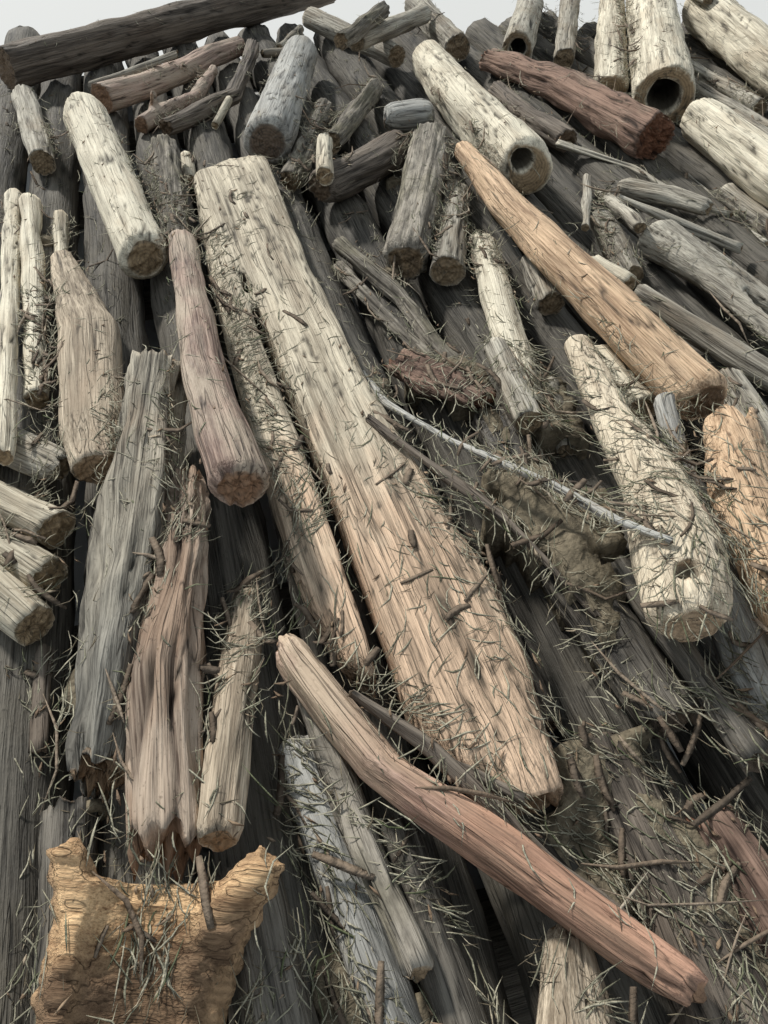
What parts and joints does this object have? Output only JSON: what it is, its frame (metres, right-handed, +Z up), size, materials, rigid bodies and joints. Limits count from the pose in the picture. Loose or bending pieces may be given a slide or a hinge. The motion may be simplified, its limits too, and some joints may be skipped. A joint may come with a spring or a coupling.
{
  "type": "stack of logs",
  "caption": "Heap of weathered drift logs lying lengthways on a bed of round logs and split bearers, with a long cracked slab, a bowed log, forked and hollow logs and a broken stump",
  "frame": {"origin": "centre of the heap's footprint box, on the ground under its bearers", "axes": "+Z up, the logs lie along Y with the heap's narrow near end at -Y, +X to the right of someone at that end"},
  "size_m": [5.694, 7.3168, 0.788],
  "materials": {
    "hidden_log": "old drift log, grey-brown and rough, in shade",
    "wet_dark_wood": "damp dark brown wood with grit in its cracks",
    "grey_weathered_wood": "silver-grey weathered wood with drying cracks",
    "dark_brown_wood": "dark brown stringy wood",
    "red_rotten_wood": "red-brown crumbling heartwood",
    "cream_bleached_wood": "sun-bleached cream wood, fine grain and cracks",
    "pink_brown_wood": "smooth pink-brown wood, bark gone",
    "bark_covered_wood": "grey-brown bark with moss in its furrows",
    "orange_tan_wood": "orange-tan heartwood, dry and fibrous",
    "stringy_rotten_wood": "grey-brown rotten wood that comes off in strings",
    "split_slab_wood": "beige to orange split face with raised grain lines",
    "smooth_grey_wood": "smooth blue-grey worn wood",
    "tan_wood": "pale tan worn wood"
  },
  "bodies": {
    "root": {"barked_logs": "bark_covered_wood", "bearers": "hidden_log", "bed_logs": "hidden_log", "bent_pink_log": "pink_brown_wood", "big_pale_log": "cream_bleached_wood", "blue_hollow_log": "grey_weathered_wood", "bow_log": "pink_brown_wood", "brown_slab": "dark_brown_wood", "brown_split_log": "stringy_rotten_wood", "buried_grey_logs": "grey_weathered_wood", "burl_chunk": "dark_brown_wood", "canes": "dark_brown_wood", "centre_bolt": "bark_covered_wood", "cream_log": "cream_bleached_wood", "crumbly_red_log": "red_rotten_wood", "curved_dark_log": "dark_brown_wood", "dark_low_logs": "wet_dark_wood", "far_logs": "grey_weathered_wood", "far_thin_logs": "grey_weathered_wood", "far_trunk": "dark_brown_wood", "forked_log": "grey_weathered_wood", "grey_chunk": "grey_weathered_wood", "grey_flared_log": "smooth_grey_wood", "grey_round_log": "smooth_grey_wood", "grey_smooth_log": "smooth_grey_wood", "hollow_log": "cream_bleached_wood", "horned_root": "pink_brown_wood", "knot_log": "cream_bleached_wood", "left_pair": "cream_bleached_wood", "left_poles": "cream_bleached_wood", "litter_log": "wet_dark_wood", "mossy_branches": "bark_covered_wood", "mossy_log": "bark_covered_wood", "mound_log": "wet_dark_wood", "narrow_brown_log": "dark_brown_wood", "notched_log": "orange_tan_wood", "orange_half_log": "orange_tan_wood", "orange_log": "orange_tan_wood", "pale_right_log": "cream_bleached_wood", "pale_split_log": "cream_bleached_wood", "pale_stick": "smooth_grey_wood", "pale_stump": "cream_bleached_wood", "pale_trunk": "cream_bleached_wood", "red_rot_log": "red_rotten_wood", "reddish_slab": "red_rotten_wood", "right_hand_logs": "grey_weathered_wood", "root_piece": "grey_weathered_wood", "rot_log": "stringy_rotten_wood", "saddle_lump": "smooth_grey_wood", "short_bolts": "grey_weathered_wood", "slats_and_strips": "dark_brown_wood", "small_stubs": "cream_bleached_wood", "split_end_log": "cream_bleached_wood", "split_slab": "split_slab_wood", "squared_block": "cream_bleached_wood", "step_log": "pink_brown_wood", "stump_chunk": "orange_tan_wood", "tan_bark_bolt": "bark_covered_wood", "tan_log": "tan_wood", "thin_branches": "grey_weathered_wood"}
  },
  "joints": []
}
